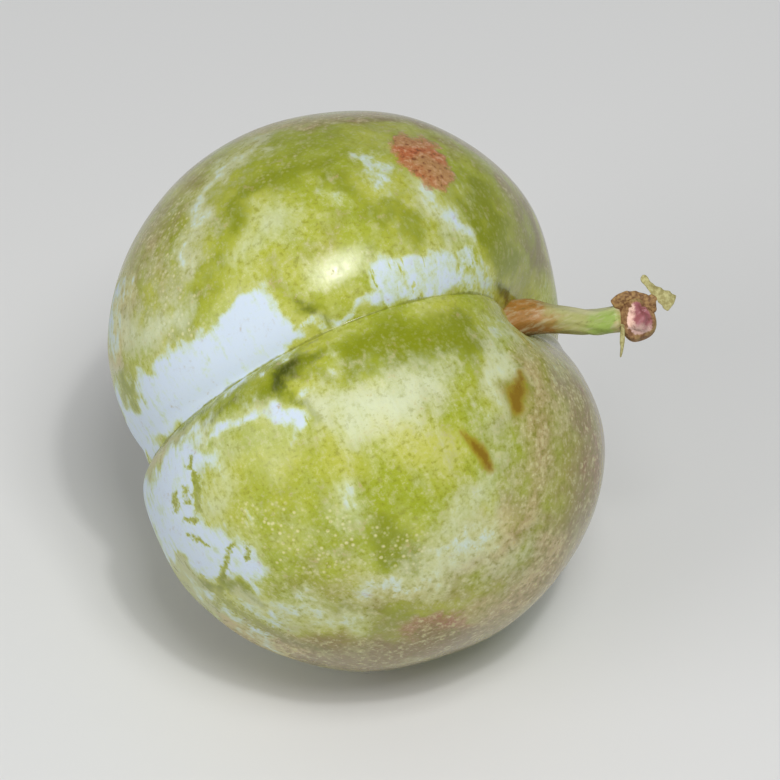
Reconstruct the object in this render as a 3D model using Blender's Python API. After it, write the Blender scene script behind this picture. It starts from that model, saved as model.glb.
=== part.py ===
"""Greengage plum: one two-lobed fruit lying on its side, with the stalk it was picked with.

Units are metres and +Z is up. The origin is the middle of the small flat spot the fruit rests on.
The fruit's own axes are X to its suture, Y across its two lobes and Z out along its stalk.
"""

import math

import bmesh
import bpy
from mathutils import Matrix, Vector

# How the fruit lies: where its stalk points, and how far the fruit is rolled about its stalk.
STALK_TURN = math.radians(3.6)
STALK_LEAN = math.radians(60.8)
FRUIT_ROLL = math.radians(-130.7)

# The two lobes are equal ellipsoids, set apart across the fruit and grown into each other.
LOBE_RADIUS = 0.01555
LOBE_OFFSET = 0.00425
LOBE_SLIP = 0.0005
STRETCH_TO_SUTURE = 1.12
STRETCH_TO_STALK = 1.067
SEAM_SOFTNESS_FRONT = 0.0005
SEAM_SOFTNESS_BACK = 0.0030

# The suture is a groove from the stalk's hollow over the tip, off the middle towards one lobe.
SUTURE_SHIFT = -0.217
SUTURE_SWAY = -0.043
GROOVE_DEPTH = 0.00095
GROOVE_WIDTH = 0.0012
GROOVE_ROUNDING = 0.0003
GROOVE_END = -0.70
GROOVE_FADE = 0.22

# The stalk stands in a hollow that is longer towards the suture than across it.
HOLLOW_DEPTH = 0.0052
HOLLOW_TO_SUTURE = 0.0067
HOLLOW_ACROSS = 0.0042
HOLLOW_ROUNDING = 0.22
TIP_DIMPLE_DEPTH = 0.0006
TIP_DIMPLE_WIDTH = 0.0020

# The underside is pressed flat by this much where the fruit rests.
REST_PRESS = 0.0007

# The fruit's faces. The meridians crowd together near the suture.
MERIDIANS = 80
PARALLELS = 44
CROWDING = 0.45

# The stalk's middle line, as (to the suture, across, along the stalk) from the fruit's centre.
STALK_ROUTE = (
    (0.0000, 0.0000, 0.0104),
    (0.0000, 0.0003, 0.0130),
    (-0.0001, 0.0014, 0.0152),
    (0.0000, 0.0028, 0.0178),
    (0.0002, 0.0036, 0.0203),
)
STALK_THICKNESS = 0.00188
STALK_SWELLING = (1.90, 1.45, 1.03, 0.98, 1.15)

# The knob at the stalk's end, where it came off the twig, is a lumpy ball.
KNOB_RADIUS = 0.00168
KNOB_FLATNESS = 0.88
KNOB_LUMPS = 5
KNOB_LUMP_HEIGHT = 0.09
KNOB_MERIDIANS = 24
KNOB_PARALLELS = 12

# Torn strips of bark on the knob. Their points are counted from the knob's middle.
STRIP_THICKNESS = 0.00064
STRIP_WIDTH = 0.0009
PEELED_STRIP = (
    (0.0002, -0.0009, -0.0004),
    (0.0002, -0.0019, 0.0000),
    (0.0000, -0.0021, 0.0012),
    (-0.0003, -0.0012, 0.0022),
    (-0.0007, 0.0003, 0.0031),
)
SHORT_STRIP = (
    (0.0004, 0.0006, -0.0006),
    (0.0004, 0.0016, -0.0010),
    (0.0003, 0.0023, -0.0012),
)

# Rods and ribbons: faces between two route points, faces round a quarter turn, and their welds.
ROUTE_STEPS = 5
ROUND_STEPS = 5
WELD = 0.00001
GAP = 0.0003


def clear_scene():
    for thing in list(bpy.data.objects):
        bpy.data.objects.remove(thing, do_unlink=True)


def new_collection(name):
    collection = bpy.data.collections.new(name)
    bpy.context.scene.collection.children.link(collection)
    return collection


def new_object(name, data, collection):
    thing = bpy.data.objects.new(name, data)
    collection.objects.link(thing)
    return thing


def new_material(name, color, roughness):
    material = bpy.data.materials.new(name)
    material.use_nodes = True
    shader = material.node_tree.nodes["Principled BSDF"]
    shader.inputs["Base Color"].default_value = (*color, 1.0)
    shader.inputs["Roughness"].default_value = roughness
    shader.inputs["Metallic"].default_value = 0.0
    material.diffuse_color = (*color, 1.0)
    return material


def mark_as_guide(thing):
    thing.hide_render = True
    thing.display_type = "WIRE"


def lobe_reach(ray, side):
    """How far a ray from the fruit's centre runs before it leaves the lobe on one side, -1 or 1."""
    scaled = Vector((ray.x / STRETCH_TO_SUTURE, ray.y, ray.z / STRETCH_TO_STALK))
    middle = Vector((0.0, side * LOBE_OFFSET, -side * LOBE_SLIP / STRETCH_TO_STALK))
    along = scaled.dot(middle)
    inside = LOBE_RADIUS**2 - middle.length_squared
    return (along + math.sqrt(along**2 + scaled.length_squared * inside)) / scaled.length_squared


def skin_point(ray, clearance=0.0):
    """The skin's point for a unit ray, where rays with y = 0 belong to the suture."""
    front = 0.5 + 0.5 * math.tanh((ray.x - GROOVE_END) / GROOVE_FADE)
    softness = SEAM_SOFTNESS_BACK + (SEAM_SOFTNESS_FRONT - SEAM_SOFTNESS_BACK) * front
    one = lobe_reach(ray, -1.0)
    other = lobe_reach(ray, 1.0)
    radius = 0.5 * (one + other + math.hypot(one - other, softness))

    off_suture = math.hypot(radius * ray.y, GROOVE_ROUNDING) / GROOVE_WIDTH
    radius -= GROOVE_DEPTH * front * math.exp(-off_suture)

    around = math.atan2(ray.x, ray.z)
    shift = SUTURE_SHIFT * math.sin(around) + SUTURE_SWAY * math.sin(2.0 * around)
    direction = Vector((ray.x, ray.y + shift * (1.0 - ray.y**2), ray.z)).normalized()
    place = direction * radius
    if direction.z > 0.0:
        off_stalk = math.hypot(place.x / HOLLOW_TO_SUTURE, place.y / HOLLOW_ACROSS)
        radius -= direction.z * HOLLOW_DEPTH * math.exp(-math.hypot(off_stalk, HOLLOW_ROUNDING))
    else:
        off_tip = math.hypot(place.x, place.y) / TIP_DIMPLE_WIDTH
        radius -= TIP_DIMPLE_DEPTH * math.exp(-off_tip**2)
    return direction * (radius + clearance)


def crowded(ray):
    """Turns a ray about the stalk, so that rays gather near the suture."""
    turn = math.atan2(ray.y, ray.x)
    turn -= CROWDING * math.sin(turn)
    spread = math.hypot(ray.x, ray.y)
    return Vector((spread * math.cos(turn), spread * math.sin(turn), ray.z))


def skin_shell(clearance=0.0):
    """The closed skin as a ball whose points are moved onto the two-lobed shape."""
    shell = bmesh.new()
    bmesh.ops.create_uvsphere(shell, u_segments=MERIDIANS, v_segments=PARALLELS, radius=1.0)
    for point in shell.verts:
        point.co = skin_point(crowded(point.co), clearance)
    return shell


def press_flat(shell, lay):
    """Cuts the shell flat underneath and returns the middle of the flat spot."""
    back = lay.inverted()
    lowest = min((lay @ point.co).z for point in shell.verts)
    plane_point = back @ Vector((0.0, 0.0, lowest + REST_PRESS))
    down = back @ Vector((0.0, 0.0, -1.0))
    everything = shell.verts[:] + shell.edges[:] + shell.faces[:]
    cut = bmesh.ops.bisect_plane(
        shell, geom=everything, dist=WELD, plane_co=plane_point, plane_no=down, clear_outer=True
    )
    rim = [item for item in cut["geom_cut"] if isinstance(item, bmesh.types.BMEdge)]
    bmesh.ops.contextual_create(shell, geom=rim)
    corners = {point for edge in rim for point in edge.verts}
    return sum((point.co for point in corners), Vector()) / len(corners)


def finish_mesh(shell, name):
    bmesh.ops.recalc_face_normals(shell, faces=shell.faces)
    mesh = bpy.data.meshes.new(name)
    shell.to_mesh(mesh)
    shell.free()
    mesh.shade_smooth()
    return mesh


def make_fruit(collection, material):
    """The whole fruit as one solid, turned to lie as picked, with its flat spot on the origin."""
    lay = Matrix.Rotation(STALK_TURN, 3, "Z")
    lay = lay @ Matrix.Rotation(STALK_LEAN, 3, "Y")
    lay = lay @ Matrix.Rotation(FRUIT_ROLL, 3, "Z")
    shell = skin_shell()
    flat_middle = press_flat(shell, lay)
    fruit = new_object("fruit", finish_mesh(shell, "fruit"), collection)
    fruit.data.materials.append(material)
    fruit.matrix_world = Matrix.Translation(-(lay @ flat_middle)) @ lay.to_4x4()
    return fruit


def make_rod(name, route, thickness, swelling, width, collection):
    """A closed rod along a smooth route, or a ribbon where the width is more than the thickness."""
    curve = bpy.data.curves.new(name, "CURVE")
    curve.dimensions = "3D"
    curve.bevel_depth = 0.5 * thickness
    curve.extrude = 0.5 * (width - thickness)
    curve.bevel_resolution = ROUND_STEPS
    curve.resolution_u = ROUTE_STEPS
    curve.use_fill_caps = True
    spline = curve.splines.new("BEZIER")
    spline.bezier_points.add(len(route) - 1)
    for knot, place, size in zip(spline.bezier_points, route, swelling):
        knot.co = place
        knot.radius = size
        knot.handle_left_type = "AUTO"
        knot.handle_right_type = "AUTO"
    guide = new_object(name, curve, collection)
    graph = bpy.context.evaluated_depsgraph_get()
    mesh = bpy.data.meshes.new_from_object(guide.evaluated_get(graph))
    bpy.data.objects.remove(guide)
    shell = bmesh.new()
    shell.from_mesh(mesh)
    bmesh.ops.remove_doubles(shell, verts=shell.verts, dist=WELD)
    return new_object(name, finish_mesh(shell, name), collection)


def make_knob(collection):
    """The lumpy end of the stalk, a little flattened along it."""
    shell = bmesh.new()
    bmesh.ops.create_uvsphere(
        shell, u_segments=KNOB_MERIDIANS, v_segments=KNOB_PARALLELS, radius=KNOB_RADIUS
    )
    for point in shell.verts:
        turn = math.atan2(point.co.y, point.co.x)
        lump = KNOB_LUMP_HEIGHT * math.cos(KNOB_LUMPS * turn + math.pi * point.co.z / KNOB_RADIUS)
        point.co *= 1.0 + lump * (1.0 - (point.co.z / KNOB_RADIUS) ** 2)
        point.co.z *= KNOB_FLATNESS
    return new_object("knob", finish_mesh(shell, "knob"), collection)


def from_knob(points):
    """Moves points that are counted from the knob's middle into the fruit's axes."""
    middle = Vector(STALK_ROUTE[-1])
    return [middle + Vector(point) for point in points]


def add_boolean(thing, operation, **operand):
    modifier = thing.modifiers.new(operation.lower(), "BOOLEAN")
    modifier.operation = operation
    for setting, value in operand.items():
        setattr(modifier, setting, value)


def make_stalk(fruit, collection, joined, cutters, material):
    """The bent stalk with its knob and torn bark, standing clear of the hollow's floor."""
    stalk = make_rod("stalk", STALK_ROUTE, STALK_THICKNESS, STALK_SWELLING, STALK_THICKNESS, collection)
    stalk.data.materials.append(material)
    stalk.parent = fruit

    knob = make_knob(joined)
    knob.location = STALK_ROUTE[-1]
    end = Vector(STALK_ROUTE[-1]) - Vector(STALK_ROUTE[-2])
    knob.rotation_euler = end.to_track_quat("Z", "Y").to_euler()
    for name, points in (("peeled_strip", PEELED_STRIP), ("short_strip", SHORT_STRIP)):
        even = [1.0] * len(points)
        make_rod(name, from_knob(points), STRIP_THICKNESS, even, STRIP_WIDTH, joined)
    for piece in joined.objects:
        piece.parent = fruit
        mark_as_guide(piece)

    hollow = new_object("hollow_clearance", finish_mesh(skin_shell(GAP), "hollow_clearance"), cutters)
    hollow.parent = fruit
    mark_as_guide(hollow)
    add_boolean(stalk, "UNION", operand_type="COLLECTION", collection=joined)
    add_boolean(stalk, "DIFFERENCE", object=hollow)


def main():
    clear_scene()
    plum = new_collection("greengage_plum")
    joined = new_collection("stalk_pieces")
    cutters = new_collection("cutters")
    skin = new_material("skin", (0.42, 0.47, 0.12), 0.45)
    bark = new_material("stalk", (0.42, 0.33, 0.12), 0.7)
    fruit = make_fruit(plum, skin)
    make_stalk(fruit, plum, joined, cutters, bark)


main()
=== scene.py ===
import math
from types import SimpleNamespace

import bpy
import numpy as np
from mathutils import Matrix, Vector


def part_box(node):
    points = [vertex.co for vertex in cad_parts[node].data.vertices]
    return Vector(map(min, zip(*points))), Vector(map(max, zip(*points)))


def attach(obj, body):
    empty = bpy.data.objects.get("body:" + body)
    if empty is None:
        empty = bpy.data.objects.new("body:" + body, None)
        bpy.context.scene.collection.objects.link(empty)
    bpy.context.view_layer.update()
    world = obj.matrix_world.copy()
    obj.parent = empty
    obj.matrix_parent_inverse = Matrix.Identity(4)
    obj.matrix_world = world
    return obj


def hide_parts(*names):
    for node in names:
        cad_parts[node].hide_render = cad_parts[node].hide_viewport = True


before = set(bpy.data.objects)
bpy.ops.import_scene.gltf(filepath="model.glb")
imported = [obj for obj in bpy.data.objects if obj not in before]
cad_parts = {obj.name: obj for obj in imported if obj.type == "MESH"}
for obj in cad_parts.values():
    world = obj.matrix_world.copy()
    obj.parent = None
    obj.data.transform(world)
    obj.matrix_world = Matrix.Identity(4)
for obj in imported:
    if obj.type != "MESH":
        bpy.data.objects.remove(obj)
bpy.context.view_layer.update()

MM = 0.001

# The fruit's shape, as in its solid. Its own axes are suture, across and stalk.
STALK_TURN = math.radians(3.6)
STALK_LEAN = math.radians(60.8)
FRUIT_ROLL = math.radians(-130.7)
LOBE_RADIUS = 15.55 * MM
LOBE_OFFSET = 4.25 * MM
LOBE_SLIP = 0.5 * MM
STRETCH_TO_SUTURE = 1.12
STRETCH_TO_STALK = 1.067
SEAM_SOFTNESS_FRONT = 0.2 * MM
SEAM_SOFTNESS_BACK = 3.0 * MM
SUTURE_SHIFT = -0.217
SUTURE_SWAY = -0.043
GROOVE_DEPTH = 0.95 * MM
GROOVE_WIDTH_UPPER = 1.5 * MM
GROOVE_WIDTH_LOWER = 0.7 * MM
GROOVE_ROUNDING = 0.12 * MM
GROOVE_END = -0.70
GROOVE_FADE = 0.22
HOLLOW_DEPTH = 5.2 * MM
HOLLOW_TO_SUTURE = 6.7 * MM
HOLLOW_ACROSS = 4.2 * MM
HOLLOW_ROUNDING = 0.22
TIP_DIMPLE_DEPTH = 0.6 * MM
TIP_DIMPLE_WIDTH = 2.0 * MM

# The fine skin's faces and its low unevenness.
MERIDIANS = 400
PARALLELS = 238
CROWDING = 0.45
UNEVEN_HEIGHT = 0.05 * MM
UNEVEN_SIZE = 7.0 * MM

# The camera stands where the photograph's camera stood, with a longer lens.
CAMERA_HEIGHT_ANGLE = math.radians(40.0)
CAMERA_DISTANCE = 330 * MM
CAMERA_AIM_RIGHT = 2.2 * MM
CAMERA_LENS = 215.0

# Marks on the skin are strokes. Each has a strength, how soft its rim is, the side of the suture
# that it keeps to (-1 upper, 1 lower, 0 both) and its dabs: (right, up, radius) from the fruit's
# middle, as seen from the front. Lengths are in millimetres.
BLOOM_AND_PAINTED_LIGHT_STROKES = (
    (1.00, 0.7, -1, (
        (-16.3, -1.2, 1.95), (-14.4, -1, 2.68), (-12, 0.2, 2.56), (-9.8, 1.7, 2.56), (-8, 3.4, 2.93),
        (-7.3, 5.2, 2.2), (-5.6, 4.4, 1.34), (-4.1, 4.1, 0.61),
    )),
    (0.70, 0.3, -1, ((-4.1, 4.4, 0.39), (-1.5, 5.2, 0.34), (1.2, 6.2, 0.39))),
    (0.80, 0.6, -1, ((2, 9, 0.98), (2.9, 7.8, 2.2), (4.9, 8.3, 2.07), (6.1, 8.5, 1.95))),
    (0.60, 1, -1, ((6.1, 8.5, 1.95), (7.3, 8.5, 1.83), (8.5, 7.8, 1.46))),
    (0.60, 0.9, 0, ((0.2, 16.6, 0.73), (1.5, 15.4, 1.1), (1.5, 13.9, 0.73), (1.2, 12.9, 0.24))),
    (0.74, 1.1, 0, ((4.9, 13.9, 0.49), (5.9, 13.2, 0.98), (7.1, 12.2, 1.22), (8, 10.7, 0.73))),
    (0.66, 0.8, 0, (
        (-7.3, 17.1, 0.39), (-9.5, 15.6, 0.59), (-11.2, 13.4, 0.63), (-12, 11, 0.59), (-12.2, 8.5, 0.37),
    )),
    # Paler left rim: partly bloom, partly painted light.
    (0.85, 1, 0, ((-17.7, 2.9, 0.61), (-17.6, 4.6, 0.73), (-16.8, 7.1, 0.49))),
    (0.55, 0.8, 1, ((8.5, 5.6, 0.49), (10.7, 4.4, 0.49), (12.9, 3.2, 0.49), (14.6, 1.2, 0.37))),
    (0.62, 0.6, 0, ((-2.4, 14.6, 0.49), (-1.7, 13.9, 0.73), (-1, 13.2, 0.37))),
    (0.42, 1.2, 0, (
        (-8.5, 8, 0.37), (-8.3, 10.5, 0.61), (-7.3, 12, 0.61), (-5.6, 12.7, 0.61), (-3.9, 12.2, 0.37),
    )),
    (0.50, 0.6, 0, ((12.7, 8.5, 0.37), (13.2, 6.6, 0.49), (12.4, 5.4, 0.49))),
    (0.97, 1.5, 1, ((-14.1, -6.1, 1.71), (-12.4, -5.1, 1.46), (-10.5, -5.1, 1.1))),
    (0.97, 1.8, 1, (
        (-13.4, -7.1, 2.56), (-13.4, -9, 2.68), (-12.2, -11, 2.44), (-9.8, -12.2, 1.95), (-7.3, -13.2, 1.1),
    )),
    (0.75, 0.5, 1, ((-13.2, -4.1, 0.49), (-11.5, -3.2, 0.49))),
    (0.80, 1.2, 1, ((-12, -3.4, 0.54), (-9.8, -1.7, 0.68), (-8, -0.5, 0.59))),
    (0.85, 0.5, 1, ((-10.2, -1, 0.29), (-8.3, 0.5, 0.34), (-6.3, 1.8, 0.29), (-4.4, 2.9, 0.24))),
    (0.92, 0.6, 1, ((-10.7, -3.3, 0.32), (-8.5, -2.3, 0.46), (-6.8, -2, 0.49))),
    (0.92, 0.7, 1, ((-4, 0.1, 0.32), (-3.3, -0.1, 0.41))),
    (0.98, 0.8, 1, ((-6, -0.9, 0.68), (-5.5, -1.5, 0.98), (-4.6, -2.1, 0.78))),
    (1.00, 0.7, -1, ((-16.6, -1, 0.98), (-15.9, -2.7, 1.22), (-14.9, -4.1, 0.98))),
    (0.55, 1.6, 1, ((-2.9, 2.7, 0.49), (-1.7, 1.7, 0.73), (-2, 0.2, 0.73))),
    # Painted sheen on the lower lobe.
    (0.30, 3.2, 1, ((-2, -0.7, 1.22), (0, -1, 1.46), (2.4, -0.7, 1.46), (5.4, 0, 0.98))),
    (0.78, 1.2, 0, ((-1.1, -7.3, 0.63), (-1, -8.3, 0.73))),
    (0.40, 0.6, 0, ((-7.6, -7.8, 0.61), (-7.3, -9, 0.61))),
    (0.45, 1.4, 1, ((-9.5, -4.1, 0.61), (-8.8, -5.6, 0.61))),
    (0.50, 1.4, 1, (
        (9, 3.9, 0.61), (9.5, 2.4, 0.98), (10.2, 1, 0.85), (9.5, -0.7, 0.73), (8.5, -2.2, 0.49),
    )),
    (0.52, 1.2, 0, ((9.8, -5.6, 0.49), (8.5, -7.1, 0.61), (7.1, -8.5, 0.61))),
    (0.70, 1.2, 0, ((5.6, -11.7, 0.73), (7.6, -11, 0.88), (9, -10.2, 0.68))),
    (0.66, 1.6, 0, ((0, -13.9, 0.85), (2.4, -13.9, 1.1), (5.4, -13.4, 0.85))),
    (0.66, 1.4, 0, ((-6.3, -14.6, 0.73), (-4.4, -15.6, 1.1), (-2, -16.1, 0.98), (-0.5, -16.3, 0.73))),
    (0.78, 1.4, 0, ((-14.4, -9.8, 1.22), (-12.4, -13.2, 1.46), (-9.5, -15.6, 1.46), (-5.9, -17.1, 1.22))),
)
DUST_AND_PAINTED_LIGHT_STROKES = (
    (0.70, 1.4, 0, ((-13.4, -11.5, 0.98), (-11.5, -14.6, 1.22), (-8.3, -17.1, 1.22), (-4.4, -18.5, 0.73))),
    (1.00, 0.9, 0, (
        (-6.6, 17.6, 0.44), (-8.8, 16.1, 0.63), (-11, 13.7, 0.73), (-11.8, 11, 0.73), (-12.2, 8, 0.61),
    )),
    (0.62, 2.2, 0, ((-14.4, 10.2, 0.98), (-13.4, 6.6, 1.46), (-14.1, 3.4, 1.46))),
    # Paler left rim: partly dust, partly painted light.
    (1.00, 1, 0, ((-17.6, 1.7, 0.73), (-17.3, 4.1, 0.73), (-16.8, 6.8, 0.61))),
    (0.50, 0.8, 0, ((-8.3, 18, 0.37), (-4.9, 19.3, 0.37), (1, 19.8, 0.49))),
    # Painted glow beside the upper lobe's highlight.
    (0.30, 1.5, 0, ((-6.8, 8.5, 0.73), (-4.9, 9.5, 0.98), (-3.4, 10.5, 0.73))),
    (0.60, 1, 0, ((4.6, 13.4, 0.73), (6.3, 12.4, 0.98), (7.6, 11, 0.73))),
    (0.70, 0.8, 1, ((-14.6, -4.9, 0.61), (-12.7, -3.4, 0.61), (-10.7, -2.9, 0.49))),
    # Painted sheen on the lower lobe.
    (0.75, 3, 1, ((-2.4, -1.2, 1.22), (0.5, -1, 1.71), (2.9, -0.7, 1.71), (5.9, 0, 1.22))),
    (0.60, 1.8, 1, ((9.3, 3.4, 0.73), (9.8, 1.7, 1.34), (10.2, -1.2, 1.22), (9.5, -3.9, 0.98))),
    (0.60, 1.8, 0, ((9.8, -6.1, 0.98), (7.8, -8, 0.98), (5.4, -11, 0.98))),
    (0.40, 3, 0, ((4.4, -3.9, 1.46), (5.9, -6.1, 1.71))),
    (0.45, 3, 0, ((8.8, -3.2, 0.98), (10, -6.6, 1.22))),
    (0.45, 2.5, 0, ((-2.4, -13.4, 0.98), (0, -12.9, 1.22))),
    (0.60, 2.2, 0, ((6.1, -13.4, 0.98), (9.3, -12.4, 0.98), (12.2, -11, 0.85))),
    (0.75, 1.4, 0, ((4.9, -12, 0.98), (7.6, -10.7, 1.22), (10.2, -9.5, 0.98))),
    (0.75, 1.4, 0, ((0.5, -13.9, 0.98), (2.9, -13.9, 1.22), (5.4, -13.2, 0.98))),
    (0.70, 1.6, 0, ((-8.3, -14.6, 0.73), (-4.9, -15.9, 0.98), (-1.5, -16.3, 0.98))),
    (0.40, 2, 0, ((-0.5, -17.3, 0.73), (4.9, -16.8, 0.73), (9.3, -14.6, 0.98))),
    (0.66, 3, 0, ((12.2, 2.7, 0.98), (12.9, -2, 1.46), (12.2, -7.1, 1.46), (9.8, -11, 1.46))),
    (0.55, 0.4, 0, ((15.9, 1.2, 0.12), (17.3, -3.2, 0.17), (17.1, -7.6, 0.17), (15.4, -11.7, 0.15))),
    # Lighter lower right: painted light.
    (0.80, 2.6, 0, ((14.1, -11.5, 0.98), (11.5, -14.4, 1.1), (8.3, -16.1, 0.73))),
)
HAZE_AND_SHEEN_STROKES = (
    # Painted highlight glow on the upper lobe.
    (0.35, 2, -1, ((-3.4, 8.3, 0.98), (-0.5, 9.3, 0.98))),
    (0.75, 1.5, 1, ((-11, -3.4, 0.61), (-8.3, -2.2, 0.61), (-5.9, -1.3, 0.61))),
    # Painted sheen: the broad soft highlight on the lower lobe.
    (0.98, 3.6, 1, ((-1.7, -1.7, 0.98), (0.2, -1.7, 1.71), (2.9, -1, 1.46), (5.1, 0.5, 0.61))),
    (0.25, 2.2, 1, ((-2, 2, 0.73), (-1.5, 0.5, 0.73))),
    (0.80, 2.2, 0, ((-1.1, -7.1, 0.73), (-1, -8.3, 0.85))),
    (0.62, 2, 1, ((-9.8, -3.9, 0.73), (-9.3, -6.1, 0.85), (-10, -8.3, 0.73))),
    (0.12, 2.5, 0, ((-6.8, -10.7, 0.98), (-4.4, -11.5, 1.22), (-2, -11.7, 0.98))),
    (0.55, 2.2, 0, ((5.9, -13.2, 0.98), (9, -12.4, 0.98), (12, -11.5, 0.73))),
    (0.60, 2, 0, ((9.5, -5.6, 0.61), (9, -7.3, 0.73), (6.8, -9.8, 0.98))),
    (0.66, 2, 0, ((8.8, -10.7, 0.85), (7.1, -12.4, 1.1), (4.6, -13.2, 1.1))),
    (0.80, 1.2, 1, ((10, 3.7, 0.49), (10.1, 2.4, 0.85), (10, 1, 0.61))),
    (0.75, 2, -1, ((-8, 9.5, 0.49), (-7.1, 11.2, 0.73), (-4.9, 12.4, 0.61))),
    (0.65, 2, 0, ((4.4, 14.4, 0.73), (5.9, 12.7, 0.98), (7.1, 10.7, 0.73))),
    (0.80, 2, -1, ((-17.3, 4.6, 0.98), (-15.4, 3.7, 0.98), (-12.7, 4.9, 0.73))),
    (0.60, 2, 0, ((-6.3, -14.6, 0.73), (-3.9, -15.6, 0.98), (-0.5, -15.9, 0.98))),
    (0.50, 2, 0, ((-8.5, -10, 0.73), (-7.3, -11.7, 0.73))),
)
BARE_STROKES = (
    # Bloom taken off the upper right rim, which darkens it: painted shade.
    (0.90, 1.2, 0, ((11.5, 13.2, 0.61), (12.4, 11.2, 0.85), (12.7, 9.5, 0.49))),
    (0.75, 0.8, 1, ((-15.1, -5.9, 0.34), (-14.6, -4.6, 0.39), (-13.3, -3.8, 0.29))),
    (0.95, 0.5, 0, ((-9, -13.7, 0.56), (-7.8, -14, 0.63), (-6.8, -14.9, 0.39))),
    (0.90, 0.6, 0, ((-13.2, -12.2, 0.34), (-11.5, -13.4, 0.34), (-9.8, -14.1, 0.24))),
    (0.85, 0.7, 0, ((-12.9, -13.2, 0.24), (-11.2, -15.2, 0.39), (-9.3, -16.8, 0.34))),
    (0.90, 0.7, 1, ((-7.8, -0.5, 0.39), (-5.6, 0.7, 0.68), (-4.4, 1.7, 0.63), (-2.7, 2.6, 0.29))),
    (0.90, 0.5, 1, ((-5, 0.4, 0.2), (-4.6, -0.5, 0.22), (-3.4, -1.1, 0.27), (-3.3, -2.2, 0.2))),
    (0.60, 0.6, 1, ((-3.7, 0.9, 0.22), (-2, 1, 0.22), (-0.5, 1.2, 0.15))),
    (0.60, 0.8, 1, ((-11.2, -2.4, 0.24), (-8.8, -1, 0.39), (-7.1, 0, 0.39))),
    (0.90, 1.4, 0, (
        (-9.5, 11, 0.49), (-8.3, 13.7, 0.73), (-6.6, 15.1, 0.85), (-4.1, 15.5, 0.85), (-2.2, 15.6, 0.61),
    )),
    (1.00, 1, 0, ((8, 14.1, 0.73), (9, 12.4, 1.1), (10, 10.7, 1.22), (10.7, 9, 0.73))),
    (0.80, 0.8, 0, ((-1.2, 15.1, 0.37), (0, 13.7, 0.61), (1.5, 11.7, 0.61))),
    (0.80, 0.4, -1, ((-4.1, 6.1, 0.29), (-3.2, 5.4, 0.44), (-2.2, 5.1, 0.24))),
    (1.00, 1.2, 1, (
        (0.2, 2.9, 1.22), (2, 3.3, 1.83), (4.4, 3.3, 2.07), (6.8, 3.5, 1.71), (8.5, 3.4, 0.73),
    )),
    (0.92, 0.8, -1, ((-17.3, 2, 0.34), (-16.8, 0.5, 0.63), (-16.3, -1, 0.49))),
)
OLIVE_AND_SHADE_STROKES = (
    (0.50, 3, 0, (
        (-14.6, 5.6, 1.22), (-12.4, 11.5, 1.71), (-8.3, 15.6, 1.95), (-2, 17.1, 1.95), (4.4, 15.9, 1.71),
        (9.5, 12.7, 1.71), (11.7, 9, 1.22),
    )),
    (0.85, 1.4, 0, (
        (-9.5, 11, 0.61), (-8.3, 13.7, 0.85), (-6.6, 15.1, 0.98), (-4.1, 15.5, 0.98), (-2.2, 15.6, 0.73),
    )),
    (0.60, 1.6, 0, ((-10.2, 9.5, 0.85), (-11.5, 6.6, 0.98), (-12.4, 3.7, 0.73))),
    (0.55, 1, 0, ((-1.2, 15.1, 0.49), (0, 13.7, 0.73), (1.5, 11.7, 0.73))),
    (1.00, 1.1, 0, ((8, 14.1, 0.85), (9, 12.4, 1.22), (10, 10.7, 1.34), (10.7, 9, 0.85))),
    (0.60, 0.8, 0, ((2, 12.9, 0.73), (3.4, 12, 0.73), (4.6, 11.2, 0.61))),
    (0.70, 0.5, -1, ((-4.1, 6.1, 0.29), (-3.2, 5.4, 0.44), (-2.2, 5.1, 0.24))),
    (0.80, 1, 1, ((11.1, 1, 0.44), (11.3, -1, 0.59))),
    (1.00, 1.4, 1, (
        (0.2, 2.9, 1.22), (2, 3.3, 1.83), (4.4, 3.3, 2.07), (6.8, 3.5, 1.71), (8.5, 3.4, 0.73),
    )),
    (0.70, 1, 1, ((-11.5, -2.9, 0.49), (-9, -1, 0.68), (-7.1, 0.4, 0.73), (-5.1, 2.4, 0.61))),
    # Painted shade on the upper right rim.
    (1.00, 1.4, 0, ((11.5, 13.2, 0.61), (12.4, 11.2, 0.85), (12.7, 9, 0.61))),
    (1.00, 0.8, 1, ((-8, -0.5, 0.49), (-5.6, 0.7, 0.78), (-4.4, 1.7, 0.73), (-2.7, 2.6, 0.34))),
    (0.95, 0.6, 1, ((-5, 0.4, 0.24), (-4.6, -0.5, 0.29), (-3.4, -1.1, 0.32), (-3.3, -2.2, 0.24))),
    (0.60, 0.7, 1, ((-3.7, 0.9, 0.24), (-2, 1, 0.24), (-0.5, 1.2, 0.17))),
    (0.80, 0.8, 1, ((-15.1, -5.9, 0.34), (-14.6, -4.6, 0.39), (-13.3, -3.8, 0.29))),
    (1.00, 1.2, 0, ((2, -10, 1.22), (2.7, -11.5, 1.22))),
    (0.60, 0.8, 0, ((-2.7, -15.4, 0.49), (-0.5, -15.1, 0.61))),
    (0.50, 0.8, 0, ((0.5, -17.3, 0.61), (2.7, -17.6, 0.61))),
    (0.95, 0.6, 0, ((-9, -13.7, 0.56), (-7.8, -14, 0.63), (-6.8, -14.9, 0.39))),
    (0.95, 0.7, 0, ((-13.2, -12.2, 0.34), (-11.5, -13.4, 0.39), (-9.8, -14.1, 0.29))),
    (0.95, 0.8, 0, ((-12.9, -13.2, 0.29), (-11.2, -15.2, 0.44), (-9.3, -16.8, 0.39))),
    (1.00, 0.9, -1, ((-17.3, 2.2, 0.34), (-16.8, 0.5, 0.68), (-16.3, -1, 0.54))),
    (0.75, 1.3, 0, ((10.6, -7.8, 0.44), (11.5, -9.3, 0.63), (11, -10.5, 0.49))),
    (0.70, 1.6, 0, ((1.5, -15.6, 0.73), (3.4, -16.3, 0.98), (1, -17.1, 0.98))),
)
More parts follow.
